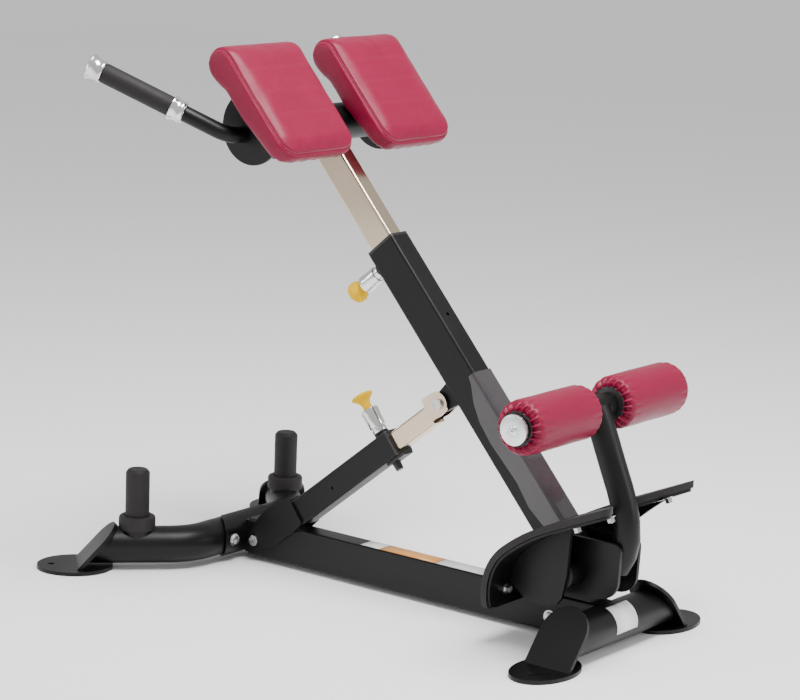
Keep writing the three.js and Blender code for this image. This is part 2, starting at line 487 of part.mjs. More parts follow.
// ================================================================ pad carriage
const carriage = group('carriage');
const onSlide = postGroup('carriage_members', carriage);
{
  let tube = bar(TUBE_FROM, BAR_S, TUBE_W, TUBE_D, TUBE_WALL, 5).translate([0, 0, TUBE_N]);
  tube = cut(tube, rodY(BAR_S, BAR_N, -60, 60, BAR_R + GAP, 40), boxAt(BAR_S - 2, BAR_S + 80, -60, 60, -60, 160));
  for (let k = -3; k <= 4; k++) {
    const s = UPPER_PIN_S + k * PIN_PITCH;
    tube = cut(tube, rod(v3(s, 0, -5), v3(s, 0, TUBE_N), PIN_HOLE_R + GAP, PIN_HOLE_R + GAP, 12));
  }
  place('inner_tube', tube, 'chrome', onSlide);
  const end = BRACKET_IN - GAP;
  place('pad_crossbar', cut(rodY(BAR_S, BAR_N, -end, end, BAR_R, 32), rodY(BAR_S, BAR_N, -end - 1, end + 1, BAR_R - BAR_WALL, 32)), 'black', onSlide);
}
// underside of the pads rises a little toward their lower end
const padUnder = s => PAD_UNDER_HIGH + (PAD_UNDER_LOW - PAD_UNDER_HIGH) * (PAD_HIGH - 60 - s) / (PAD_HIGH - 60 - PAD_LOW);
const handles = group('handles', carriage);
for (const [word, side] of sides) {
  const y = near[word];
  const span = (a, b) => y > 0 ? [a, b] : [-b, -a];
  const boardTop = s => padUnder(s) - GAP;
  place(`pad_board_${word}`, slab([[BOARD_FROM, boardTop(BOARD_FROM) - BOARD_T], [BOARD_TO, boardTop(BOARD_TO) - BOARD_T],
    [BOARD_TO, boardTop(BOARD_TO)], [BOARD_FROM, boardTop(BOARD_FROM)]], ...span(BOARD_IN, BOARD_OUT)), 'black', onSlide);
  const disc = rodY(BRACKET_S, BRACKET_N, ...span(BRACKET_IN, BRACKET_IN + BRACKET_T), BRACKET_R, 40);
  const over = slab([[900, boardTop(900) - BOARD_T - GAP], [1300, boardTop(1300) - BOARD_T - GAP], [1300, 300], [900, 300]], -300, 300);
  place(`pad_bracket_${word}`, cut(disc, over), 'black', onSlide);

  // cushion: flat top, rolled nose at the upper end, soft edges all round
  const e = PAD_EDGE;
  const noseS = PAD_HIGH - NOSE_R, noseN = PAD_TOP - NOSE_R;
  const profile = [[PAD_LOW + e + 8, padUnder(PAD_LOW) + e], [noseS - 42, padUnder(noseS - 42) + e], [noseS - 24, noseN - NOSE_R + e + 4],
    ...arc(noseS, noseN, NOSE_R - e, 260, 450, 10), [PAD_LOW + 40, PAD_TOP - e - 1], [PAD_LOW + 22, PAD_TOP - e - 3],
    [PAD_LOW + e, PAD_TOP - e - 9], [PAD_LOW + e, padUnder(PAD_LOW) + e + 3]];
  const shape = new THREE.Shape(profile.map(p => new THREE.Vector2(...p)));
  const g = new THREE.ExtrudeGeometry(shape, { depth: PAD_OUT - PAD_IN - 2 * e, bevelThickness: e, bevelSize: e, bevelSegments: 4 });
  g.rotateX(Math.PI / 2).translate(0, PAD_OUT - e, 0);
  // corners rounded in plan, more at the lower end
  const plan = new THREE.Shape();
  const c = PAD_CORNER, r = e + 4;
  plan.absarc(PAD_HIGH - r, PAD_OUT - r, r, 0, Math.PI / 2);
  plan.absarc(PAD_LOW + c, PAD_OUT - c, c, Math.PI / 2, Math.PI);
  plan.absarc(PAD_LOW + c, PAD_IN + c, c, Math.PI, 1.5 * Math.PI);
  plan.absarc(PAD_HIGH - r, PAD_IN + r, r, 1.5 * Math.PI, 2 * Math.PI);
  const prism = solid(new THREE.ExtrudeGeometry(plan, { depth: 200, bevelEnabled: false, curveSegments: 5 }));
  const cushion = solid(g).intersect(prism);
  place(`hip_pad_${word}`, y > 0 ? cushion : cushion.mirror([0, 1, 0]), 'vinyl', onSlide);

  // handle: bent bar from the bracket out and back to the grip
  const tip = v3(HANDLE_END[0], side * HANDLE_END[1], HANDLE_END[2]);
  const root = v3(HANDLE_ROOT[0], side * (BRACKET_IN + BRACKET_T + GAP), HANDLE_ROOT[1]);
  const knee = v3(root.x, side * 244, root.z);
  const dir = tip.clone().sub(knee).normalize();
  place(`handle_${word}`, bent(eased([root, knee, tip], HANDLE_BEND_R), HANDLE_R), 'black', handles);
  const back = t => tip.clone().addScaledVector(dir, -t);
  const hollow = (t0, t1) => rod(back(t0), back(t1), HANDLE_R + GAP);
  place(`grip_${word}`, cut(rod(back(GRIP_FROM), back(GRIP_TO), GRIP_R), hollow(GRIP_FROM - 2, GRIP_TO + 2)), 'rubber', handles);
  // flared cuffs: the inner one is open, the outer one closes the end of the bar
  const cuff = (t0, t1, r0, r1) => join(rod(back(t0), back(t0 + (t1 - t0) * 0.5), r0, GRIP_R + 1),
    rod(back(t0 + (t1 - t0) * 0.49), back(t1), GRIP_R + 1, r1));
  place(`grip_collar_${word}`, cut(cuff(GRIP_TO + GAP, GRIP_TO + GAP + CUFF_LEN, CUFF_R, GRIP_R + 1.5), hollow(GRIP_TO - 5, GRIP_TO + 60)), 'chrome', handles);
  place(`grip_cap_${word}`, cut(cuff(GRIP_FROM - GAP, GRIP_FROM - GAP - CUFF_LEN - 4, GRIP_R + 2, CUFF_R + 1.5), hollow(GRIP_FROM + 5, -GAP)), 'chrome', handles);
}

// ================================================================ telescoping strut
const strut = group('strut');
const strutAngle = Math.atan2(LUG_Z - STRUT_Z, LUG_X - STRUT_X);
const strutLength = Math.hypot(LUG_X - STRUT_X, LUG_Z - STRUT_Z);
function strutGroup(name, parent) { // local X runs from the base pivot to the lug
  const g = group(name, parent);
  g.position.set(STRUT_X, 0, STRUT_Z);
  g.rotation.y = -strutAngle;
  return g;
}
const onStrut = strutGroup('strut_members', strut);
{
  const inner = STRUT_W / 2 + GAP;
  const cheek = [...arc(0, 0, FORK_R, 120, 270, 10), [48, -34], [98, -36], [FORK_TO - 6, -33], [FORK_TO, -27], [FORK_TO, 28],
    [112, 34], [78, 38], [38, 34]];
  const plates = join(slab(cheek, -inner - FORK_T, -inner), slab(cheek, inner, inner + FORK_T),
    boxAt(STRUT_FROM - 7, STRUT_FROM - GAP, -inner - 1, inner + 1, -31, 20));
  place('strut_fork', cut(plates, rodY(0, 0, -60, 60, PIVOT_BOLT_R + GAP)), 'black', onStrut);
  const head = inner + FORK_T + GAP;
  place('strut_bolt', join(rodY(0, 0, -head - 1, head + 1, PIVOT_BOLT_R),
    rodY(0, 0, -head - BOLT_HEAD_T, -head, BOLT_HEAD_R, 24), rodY(0, 0, head, head + BOLT_HEAD_T, BOLT_HEAD_R, 6)), 'zinc', onStrut);

  const tube = bar(STRUT_FROM, STRUT_TO, STRUT_W, STRUT_D, STRUT_WALL, 5);
  const boss = rod(v3(LOWER_PIN_S, 0, STRUT_D / 2 - 1), v3(LOWER_PIN_S, 0, STRUT_D / 2 + BOSS_H), BOSS_R - 1);
  const low = body => body.translate([0, 0, STRUT_DROP]); // the tubes run below the line through the two pivots
  place('strut_tube', low(cut(join(tube, boss), rod(v3(LOWER_PIN_S, 0, 10), v3(LOWER_PIN_S, 0, 60), PIN_R + GAP + 0.3),
    rodY(245, -2, -STRUT_W, 0, 3, 12))), 'black', onStrut);

  // plastic guide in the mouth, with a lip and a round stop under the tube
  const w = STRUT_W - 2 * STRUT_WALL - 2 * GAP, d = STRUT_D - 2 * STRUT_WALL - 2 * GAP;
  const tongue = boxAt(390, STRUT_TO + 12, -15, 15, -STRUT_D / 2 - 6, -STRUT_D / 2 - GAP);
  const body = join(bar(STRUT_TO - 50, STRUT_TO + 2, w, d, 0, 3), bar(STRUT_TO + GAP, STRUT_TO + 6, STRUT_W, STRUT_D, 0, 5),
    tongue, boxAt(STRUT_TO + GAP, STRUT_TO + 6, -15, 15, -STRUT_D / 2 - 6, -STRUT_D / 2 + 8),
    rod(v3(402, 0, -STRUT_D / 2 - 5), v3(402, 0, -STRUT_D / 2 - 22), 9, 8, 20));
  place('strut_bushing', low(cut(body, bar(STRUT_TO - 60, STRUT_TO + 10, SLIDER_W + 2 * GAP, SLIDER_D + 2 * GAP, 0, 4),
    rod(v3(LOWER_PIN_S, 0, 10), v3(LOWER_PIN_S, 0, 60), PIN_R + GAP + 0.3))), 'plastic', onStrut);
  const pull = strutGroup('lower_pull', chair);
  const set = pinSet('lower', onStrut, pull, LOWER_PIN_S, STRUT_D / 2 + STRUT_DROP, 1);
  knobShape('lower_knob', set, [[9, 1.5], [9, 10], [12, 18], [KNOB_R + 1, 27], [KNOB_R + 1, 31], [18, 33]], pull);
}
{
  const slideGroup = strutGroup('strut_slide', chair);
  const solidEnd = strutLength - 31, half = SLIDER_D / 2;
  let body = join(bar(SLIDER_FROM, solidEnd - 8, SLIDER_W, SLIDER_D, SLIDER_WALL, 5),
    roundedBar(solidEnd - 10, solidEnd, SLIDER_W, SLIDER_D, 0, 5));
  for (let k = -3; k <= 2; k++) {
    const s = LOWER_PIN_S + k * 35;
    body = cut(body, rod(v3(s, 0, 5), v3(s, 0, 40), PIN_HOLE_R + GAP, PIN_HOLE_R + GAP, 12));
  }
  const outline = [[strutLength - 32.5, -20], [strutLength - 12, -22], ...arc(strutLength - 3, 2, EAR_R, -70, 90, 12),
    [strutLength - 24, 27.5], [strutLength - 30, 27.5], [strutLength - 32.5, 24]];
  const root = [[solidEnd - 9, -half + STRUT_DROP + 3], [solidEnd + 6, -20], [solidEnd + 6, half + STRUT_DROP - 3], [solidEnd - 9, half + STRUT_DROP - 3]];
  const ear = y => join(slab(outline, y, y + EAR_T), slab(root, y + 0.2, y + EAR_T - 0.2));
  body = join(body.translate([0, 0, STRUT_DROP]), ear(SLIDER_W / 2 - EAR_T), ear(-SLIDER_W / 2));
  place('slider', cut(body, rodY(strutLength, 0, -40, 40, LUG_BOLT_R + GAP)), 'chrome', slideGroup);
  const head = SLIDER_W / 2 + GAP;
  place('slider_bolt', join(rodY(strutLength, 0, -head - 1, head + 1, LUG_BOLT_R),
    rodY(strutLength, 0, -head - BOLT_HEAD_T, -head, BOLT_HEAD_R, 24), rodY(strutLength, 0, head, head + BOLT_HEAD_T, BOLT_HEAD_R, 6)),
  'zinc', slideGroup);
}

// stand the chair on the floor with its footprint centred
chair.updateMatrixWorld(true);
const bounds = new THREE.Box3().setFromObject(chair);
const middle = bounds.getCenter(v3(0, 0, 0));
chair.position.set(-middle.x, -middle.y, -bounds.min.z);

export default chair;
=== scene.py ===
import bpy, bmesh, math
from mathutils import Vector, Matrix, noise
from mathutils.bvhtree import BVHTree


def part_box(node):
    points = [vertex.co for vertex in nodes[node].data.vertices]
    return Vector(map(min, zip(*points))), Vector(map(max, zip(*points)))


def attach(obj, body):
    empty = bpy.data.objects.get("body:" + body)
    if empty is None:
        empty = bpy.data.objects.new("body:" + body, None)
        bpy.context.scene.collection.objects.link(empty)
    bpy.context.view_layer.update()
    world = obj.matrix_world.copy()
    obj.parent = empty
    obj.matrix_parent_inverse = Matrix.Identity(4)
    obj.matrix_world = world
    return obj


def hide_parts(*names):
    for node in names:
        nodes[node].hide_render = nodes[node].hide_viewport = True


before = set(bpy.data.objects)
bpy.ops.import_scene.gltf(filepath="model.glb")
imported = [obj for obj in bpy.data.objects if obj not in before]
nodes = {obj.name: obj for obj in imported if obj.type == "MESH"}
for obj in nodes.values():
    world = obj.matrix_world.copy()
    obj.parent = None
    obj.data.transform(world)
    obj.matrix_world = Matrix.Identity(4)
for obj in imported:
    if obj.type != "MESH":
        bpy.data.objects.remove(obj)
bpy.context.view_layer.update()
scene = bpy.context.scene

# ---- Studio: a pale sweep of floor under three large softboxes, and the camera low and
# to the front left of the bench, with a long lens.
eye = Vector((3.2116, -4.1920, 1.5833))
turn, down, roll = math.radians(37.3), math.radians(11.668), math.radians(2.144)
ahead = Vector((-math.sin(turn) * math.cos(down), math.cos(turn) * math.cos(down), -math.sin(down)))
level = Vector((math.cos(turn), math.sin(turn), 0))
upright = level.cross(ahead)
across = level * math.cos(roll) + upright * math.sin(roll)
over = upright * math.cos(roll) - level * math.sin(roll)
lens = bpy.data.cameras.new("studio_camera")
lens.sensor_width, lens.lens, lens.clip_end = 36, 36 * 2726.43 / 800, 60
camera = bpy.data.objects.new("studio_camera", lens)
camera.matrix_world = Matrix((across, over, -ahead)).transposed().to_4x4()
camera.location = eye
scene.collection.objects.link(camera)
scene.camera = camera

def softbox(name, place, aim, width, height, power, tint=(1, 1, 1)):
    light = bpy.data.lights.new(name, "AREA")
    light.shape, light.size, light.size_y, light.energy, light.color = "RECTANGLE", width, height, power, tint
    lamp = bpy.data.objects.new(name, light)
    lamp.location = place
    lamp.rotation_euler = (Vector(aim) - Vector(place)).to_track_quat("-Z", "Y").to_euler()
    scene.collection.objects.link(lamp)

softbox("overhead_softbox", (0.9, -0.3, 3.6), (-0.1, 0, 0.7), 2.0, 1.5, 215)
softbox("side_softbox", (-2.9, -3.3, 1.9), (0, 0, 0.5), 1.6, 2.0, 46)
softbox("foot_end_softbox", (3.6, 1.4, 1.7), (0.2, 0, 0.5), 1.2, 2.2, 46)
world = bpy.data.worlds.new("studio_walls")
world.use_nodes = True
world.node_tree.nodes["Background"].inputs[0].default_value = (1.0, 1.0, 1.0, 1)
world.node_tree.nodes["Background"].inputs[1].default_value = 0.72
scene.world = world

ground = bpy.data.meshes.new("studio_floor")
ground.from_pydata([(-9, -9, 0), (9, -9, 0), (9, 9, 0), (-9, 9, 0)], [], [(0, 1, 2, 3)])
floor = bpy.data.objects.new("studio_floor", ground)
scene.collection.objects.link(floor)
paper = bpy.data.materials.new("studio_paper")
paper.use_nodes = True
paper.node_tree.nodes["Principled BSDF"].inputs["Base Color"].default_value = (0.96, 0.96, 0.96, 1)
paper.node_tree.nodes["Principled BSDF"].inputs["Roughness"].default_value = 0.9
ground.materials.append(paper)

# ---- Base frame: one long rectangular tube between a round front tube and a round rear tube whose
# arms sweep back, welded to four oval foot plates with gusset straps, all in black powder coat.
# The saddle shell joins the rear tube to the long tube; the upright carries the post's pivot.
def shader_group(name, inputs, outputs):
    tree = bpy.data.node_groups.new(name, "ShaderNodeTree")
    for label, kind, value in inputs:
        tree.interface.new_socket(label, in_out="INPUT", socket_type=kind).default_value = value
    for label, kind in outputs:
        tree.interface.new_socket(label, in_out="OUTPUT", socket_type=kind)
    return tree, tree.nodes.new("NodeGroupInput"), tree.nodes.new("NodeGroupOutput")

def wired(tree, kind, links, **settings):
    node = tree.nodes.new(kind)
    for key, value in settings.items():
        setattr(node, key, value)
    for key, value in links.items():
        if isinstance(value, bpy.types.NodeSocket):
            tree.links.new(value, node.inputs[key])
        else:
            node.inputs[key].default_value = value
    return node

FLOAT, COLOR, VECTOR = "NodeSocketFloat", "NodeSocketColor", "NodeSocketVector"
skin, gi, go = shader_group("mottled_skin",
    [("Colour", COLOR, (0.5, 0.5, 0.5, 1)), ("Worn Colour", COLOR, (0.6, 0.6, 0.6, 1)), ("Patch Scale", FLOAT, 9),
     ("Grain Scale", FLOAT, 900), ("Grain Height", FLOAT, 0.2), ("Smooth", FLOAT, 0.3), ("Rough", FLOAT, 0.45),
     ("Stretch", VECTOR, (1, 1, 1))],
    [("Colour", COLOR), ("Roughness", FLOAT), ("Normal", VECTOR)])
place = wired(skin, "ShaderNodeTexCoord", {}).outputs["Object"]
stretched = wired(skin, "ShaderNodeMapping", {0: place, 3: gi.outputs["Stretch"]}).outputs[0]
patches = wired(skin, "ShaderNodeTexNoise", {"Vector": place, "Scale": gi.outputs["Patch Scale"],
    "Detail": 5}).outputs["Fac"]
grain = wired(skin, "ShaderNodeTexNoise", {"Vector": stretched, "Scale": gi.outputs["Grain Scale"],
    "Detail": 3}).outputs["Fac"]
spread = wired(skin, "ShaderNodeMapRange", {0: patches, 1: 0.35, 2: 0.7}).outputs[0]
tone = wired(skin, "ShaderNodeMix", {0: spread, 6: gi.outputs["Colour"], 7: gi.outputs["Worn Colour"]},
    data_type="RGBA").outputs[2]
sheen = wired(skin, "ShaderNodeMapRange", {0: patches, 1: 0.3, 2: 0.7, 3: gi.outputs["Smooth"],
    4: gi.outputs["Rough"]}).outputs[0]
relief = wired(skin, "ShaderNodeBump", {"Strength": gi.outputs["Grain Height"], "Distance": 0.0006,
    "Height": grain}).outputs[0]
for value, label in ((tone, "Colour"), (sheen, "Roughness"), (relief, "Normal")):
    skin.links.new(value, go.inputs[label])

def finish(name, slot, group, values, **shader):
    material = bpy.data.materials.new(name)
    material.use_nodes = True
    material["slot"] = slot
    tree = material.node_tree
    surface = tree.nodes["Principled BSDF"]
    for key, value in shader.items():
        surface.inputs[key.replace("_", " ").title().replace("Ior", "IOR")].default_value = value
    effect = wired(tree, "ShaderNodeGroup", {}, node_tree=group)
    for key, value in values.items():
        effect.inputs[key].default_value = (*value, 1) if "Colour" in key else value
    tree.links.new(effect.outputs["Colour"], surface.inputs["Base Color"])
    tree.links.new(effect.outputs["Roughness"], surface.inputs["Roughness"])
    tree.links.new(effect.outputs["Normal"], surface.inputs["Normal"])
    return material

plate_edge, thin_edge, mat_edge = 0.0014, 0.0006, 0.0022  # bevel widths, metres

def dress(material, edge, *names):  # the CAD solids keep their shape: facets welded, edges eased
    for name in names:
        part = nodes[name]
        part.data.materials.clear()
        part.data.materials.append(material)
        for face in part.data.polygons:
            face.use_smooth = True
        weld = part.modifiers.new("weld_facets", "WELD")
        weld.merge_threshold = 0.00002
        ease = part.modifiers.new("eased_edges", "BEVEL")
        ease.width, ease.segments, ease.limit_method = edge, 2, "ANGLE"
        ease.angle_limit, ease.harden_normals, ease.use_clamp_overlap = math.radians(38), False, True
        flats = part.modifiers.new("flat_faces", "WEIGHTED_NORMAL")
        flats.mode, flats.weight, flats.keep_sharp = "FACE_AREA", 100, True

black_coat = finish("black_powder_coat", "frame_black", skin, {"Colour": (0.0016, 0.0017, 0.0018),
    "Worn Colour": (0.003, 0.003, 0.0032), "Grain Scale": 700, "Grain Height": 0.3, "Smooth": 0.34, "Rough": 0.46},
    specular_ior_level=0.26)
dress(black_coat, plate_edge, "base_tube", "front_cross_tube", "rear_cross_tube", "rear_saddle", "pivot_upright",
      "foot_front_left", "foot_front_right", "foot_rear_left", "foot_rear_right")

# ---- Tilting post: rectangular tube on two cheek plates that swing on the pivot axle, with
# gussets out to the treads, the roller arm welded on top and a lug underneath for the strut.
dress(black_coat, plate_edge, "post_tube", "pivot_bracket_left", "pivot_bracket_right", "roller_arm", "post_lug")
zinc_plate = finish("zinc_plate", "zinc", skin, {"Colour": (0.62, 0.63, 0.64), "Worn Colour": (0.5, 0.51, 0.52),
    "Patch Scale": 60, "Grain Height": 0.15, "Smooth": 0.22, "Rough": 0.4}, metallic=1.0)
dress(zinc_plate, thin_edge, "pivot_axle", "roller_axle")
nylon = finish("black_nylon", "plastic_black", skin, {"Colour": (0.008, 0.008, 0.0085),
    "Worn Colour": (0.013, 0.013, 0.0135),
    "Patch Scale": 30, "Grain Scale": 1800, "Grain Height": 0.2, "Smooth": 0.35, "Rough": 0.5})
dress(nylon, thin_edge, "post_bushing")

# ---- Scuff guard: thin glossy grey plastic channel clipped over the lower half of the post.
guard_plastic = finish("grey_scuff_plastic", "guard_grey", skin,
    {"Colour": (0.03, 0.026, 0.029), "Worn Colour": (0.042, 0.036, 0.04),
    "Patch Scale": 12, "Grain Scale": 1200, "Grain Height": 0.08, "Smooth": 0.16, "Rough": 0.27}, coat_weight=0.4)
dress(guard_plastic, thin_edge, "scuff_guard")

# ---- Foot treads: bent steel plates on the gussets, each under a thick moulded rubber mat with
# rounded corners that the feet press against.
dress(black_coat, plate_edge, "tread_plate_left", "tread_plate_right")
mat_rubber = finish("moulded_rubber", "rubber", skin, {"Colour": (0.011, 0.0095, 0.0095),
    "Worn Colour": (0.017, 0.0145, 0.0145),
    "Patch Scale": 25, "Grain Scale": 1500, "Grain Height": 0.55, "Smooth": 0.5, "Rough": 0.68},
    specular_ior_level=0.3)
dress(mat_rubber, mat_edge, "tread_rubber_left", "tread_rubber_right")

# ---- Telescoping strut: black tube on a fork bolted to the base, a plastic guide in its mouth and
# a chromed tube with a row of pin holes that slides in it and is bolted to the post's lug.
dress(black_coat, plate_edge, "strut_tube", "strut_fork")
dress(nylon, thin_edge, "strut_bushing")
bright_chrome = finish("bright_nickel_chrome", "chrome", skin,
    {"Colour": (0.66, 0.54, 0.41), "Worn Colour": (0.61, 0.49, 0.37),
    "Grain Scale": 260, "Grain Height": 0.04, "Smooth": 0.1, "Rough": 0.2, "Stretch": (1, 1, 0.2)}, metallic=1.0)
dress(bright_chrome, plate_edge, "slider")
dress(zinc_plate, thin_edge, "strut_bolt", "slider_bolt", "lower_pin")

# ---- Pad carriage: chromed inner tube that slides in the post, its cross bar, the two round
# bracket discs and the plywood boards under the pads, painted black.
dress(bright_chrome, plate_edge, "inner_tube")
dress(black_coat, plate_edge, "pad_crossbar", "pad_bracket_left", "pad_bracket_right", "pad_board_left",
    "pad_board_right")
dress(zinc_plate, thin_edge, "upper_pin")

# ---- Plate pegs: rubber sleeves on welded studs for storing weight plates, each standing in a
# thick rubber collar that the plates rest on.
def spun(name, material, profile, base, axis, body, *stands_for, facets=64):
    axis = Vector(axis).normalized()
    side = axis.orthogonal().normalized()
    out = axis.cross(side)
    shape = bmesh.new()
    rings = []
    for radius, along in profile:
        centre = Vector(base) + axis * along / 1000
        if radius == 0:
            rings.append([shape.verts.new(centre)])
        else:
            rings.append([shape.verts.new(centre + (side * math.cos(a) + out * math.sin(a)) * radius / 1000)
                          for a in (math.tau * i / facets for i in range(facets))])
    if profile[0] == profile[-1]:
        for v in rings[-1]:
            shape.verts.remove(v)
        rings[-1] = rings[0]
    for a, b in zip(rings, rings[1:]):
        for i in range(facets):
            j = (i + 1) % facets
            corners = [a[i % len(a)], a[j % len(a)], b[j % len(b)], b[i % len(b)]]
            corners = [c for k, c in enumerate(corners) if c not in corners[:k]]
            if len(corners) > 2:
                shape.faces.new(corners)
    bmesh.ops.recalc_face_normals(shape, faces=shape.faces)
    mesh = bpy.data.meshes.new(name)
    shape.to_mesh(mesh)
    shape.free()
    mesh.shade_smooth()
    mesh.set_sharp_from_angle(angle=math.radians(32))
    mesh.materials.append(material)
    piece = bpy.data.objects.new(name, mesh)
    scene.collection.objects.link(piece)
    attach(piece, body)
    if stands_for:
        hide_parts(*stands_for)
    return piece

def middle(node):
    low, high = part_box(node)
    return (low + high) / 2

for word in ("left", "right"):
    spot = middle(f"peg_{word}")
    spun(f"plate_peg_{word}", mat_rubber, [(0, 70), (24.5, 70), (24.5, 199), (24, 201), (20, 206), (18.6, 207),
        (0, 207.4)],
         (spot.x, spot.y, 0), (0, 0, 1), "base", f"peg_{word}")
    spun(f"plate_collar_{word}", mat_rubber, [(25, 66), (31.5, 66), (31.5, 81), (36.5, 82), (37.5, 83.5),
        (37.5, 105), (36, 108.5), (33.5, 110), (27, 110),
         (25, 108.5), (25, 66)], (spot.x, spot.y, 0), (0, 0, 1), "base", f"peg_collar_{word}")

# ---- Pull pins: chromed barrel screwed on the boss of each outer tube, a spring inside, and a
# yellow plastic pull on the pin: a ball under the post, a mushroom on the strut.
shift = 0.53921  # X of the front foot plates' centre in the row frame, metres
def post_point(s, y, n):  # s up the post, y across, n off its underside, millimetres
    return Vector((shift - 0.0544, 0, 0.0719)) + (post_up * s + Vector((0, y, 0)) + post_out * n) / 1000

post_up = Vector((-math.cos(math.radians(48.6)), 0, math.sin(math.radians(48.6))))
post_out = Vector((math.sin(math.radians(48.6)), 0, math.cos(math.radians(48.6))))
strut_up = Vector((448, 0, 362)).normalized()
strut_out = Vector((-strut_up.z, 0, strut_up.x))
strut_foot = Vector((shift - 0.857, 0, 0.045))

silver_chrome = finish("silver_chrome", "chrome", skin, {"Colour": (0.78, 0.78, 0.77),
    "Worn Colour": (0.7, 0.7, 0.69),
    "Grain Scale": 260, "Grain Height": 0.04, "Smooth": 0.1, "Rough": 0.2}, metallic=1.0)
yellow_plastic = finish("yellow_knob_plastic", "knob_yellow", skin,
    {"Colour": (0.82, 0.5, 0.0), "Worn Colour": (0.76, 0.44, 0.0),
    "Patch Scale": 50, "Grain Scale": 1500, "Grain Height": 0.08, "Smooth": 0.3, "Rough": 0.42},
    specular_ior_level=0.1)
barrel = [(6.5, 9), (14.6, 9), (15.2, 10), (15.2, 17), (14.4, 18), (14.4, 20), (16.2, 21), (16.6, 22),
    (17.6, 42), (18.6, 52),
          (19, 56), (18.6, 60), (17.5, 61), (6.5, 61), (6.5, 9)]
spun("upper_pull_barrel", silver_chrome, barrel, post_point(774.5, 0, 0), -post_out, "post_frame",
    "upper_pin_housing")
spun("upper_pull_ball", yellow_plastic, [(0, 62), (9, 62), (10.4, 63), (11, 68), (14, 71), (18, 75), (21, 80),
    (22.2, 86),
     (21.4, 91.5), (18.6, 96), (13.5, 99.3), (6.5, 100.8), (0, 101)], post_point(774.5, 0, 0), -post_out,
     "upper_pull_pin", "upper_knob")
pull = strut_foot + strut_up * 0.404 + strut_out * 0.020
spun("lower_pull_barrel", silver_chrome, barrel, pull, strut_out, "strut", "lower_pin_housing")
spun("lower_pull_mushroom", yellow_plastic, [(0, 62), (8.4, 62), (9, 63), (9, 70), (10, 75), (12.5, 80),
    (17.5, 85), (22.2, 88.5),
     (22.8, 90), (22.5, 92.4), (20, 94), (13, 95.6), (0, 96.4)], pull, strut_out, "lower_pull_pin", "lower_knob")

# ---- Ankle rollers: foam sleeves in sewn vinyl covers, drawn in over the plastic core with a
# cord so that both ends pucker into pleats, and an aluminium cap bolted on the axle.
hide, gi, go = shader_group("pebbled_hide",
    [("Colour", COLOR, (0.4, 0.02, 0.05, 1)), ("Crease Colour", COLOR, (0.25, 0.01, 0.03, 1)),
    ("Pebble Scale", FLOAT, 620),
     ("Pebble Height", FLOAT, 0.3)],
    [("Colour", COLOR), ("Roughness", FLOAT), ("Normal", VECTOR)])
place = wired(hide, "ShaderNodeTexCoord", {}).outputs["Object"]
cells = wired(hide, "ShaderNodeTexVoronoi", {"Vector": place, "Scale": gi.outputs["Pebble Scale"]},
              feature="DISTANCE_TO_EDGE").outputs["Distance"]
cracks = wired(hide, "ShaderNodeMapRange", {0: cells, 1: 0.0, 2: 0.16}).outputs[0]
cloud = wired(hide, "ShaderNodeTexNoise", {"Vector": place, "Scale": 14, "Detail": 6}).outputs["Fac"]
soft = wired(hide, "ShaderNodeMapRange", {0: cloud, 1: 0.3, 2: 0.72, 3: 0.78, 4: 1.0}).outputs[0]
# painted shade: the cracks between the pebbles of the grain are coloured darker, a little varied by the cloud
depth = wired(hide, "ShaderNodeMath", {0: cracks, 1: soft}, operation="MULTIPLY").outputs[0]
tone = wired(hide, "ShaderNodeMix", {0: depth, 6: gi.outputs["Crease Colour"], 7: gi.outputs["Colour"]},
    data_type="RGBA").outputs[2]
sheen = wired(hide, "ShaderNodeMapRange", {0: cloud, 1: 0.3, 2: 0.7, 3: 0.34, 4: 0.46}).outputs[0]
relief = wired(hide, "ShaderNodeBump", {"Strength": gi.outputs["Pebble Height"], "Distance": 0.0005,
    "Height": cracks}).outputs[0]
for value, label in ((tone, "Colour"), (sheen, "Roughness"), (relief, "Normal")):
    hide.links.new(value, go.inputs[label])
# the second colour is painted shade for the cracks of the grain
crimson = finish("crimson_vinyl", "vinyl_red", hide, {"Colour": (0.26, 0.0004, 0.038),
    "Crease Colour": (0.14, 0.0003, 0.018)},
    coat_weight=0.22, coat_roughness=0.34, specular_ior_level=0.16)
bright_aluminium = finish("turned_aluminium", "aluminium", skin,
    {"Colour": (0.86, 0.87, 0.88), "Worn Colour": (0.8, 0.81, 0.82),
    "Patch Scale": 40, "Grain Scale": 1400, "Grain Height": 0.06, "Smooth": 0.2, "Rough": 0.32}, metallic=1.0)
start, length = 0.0416, 0.2164  # inner end and length of each roller
axle = Vector((shift - 0.054, 0, 0.458))
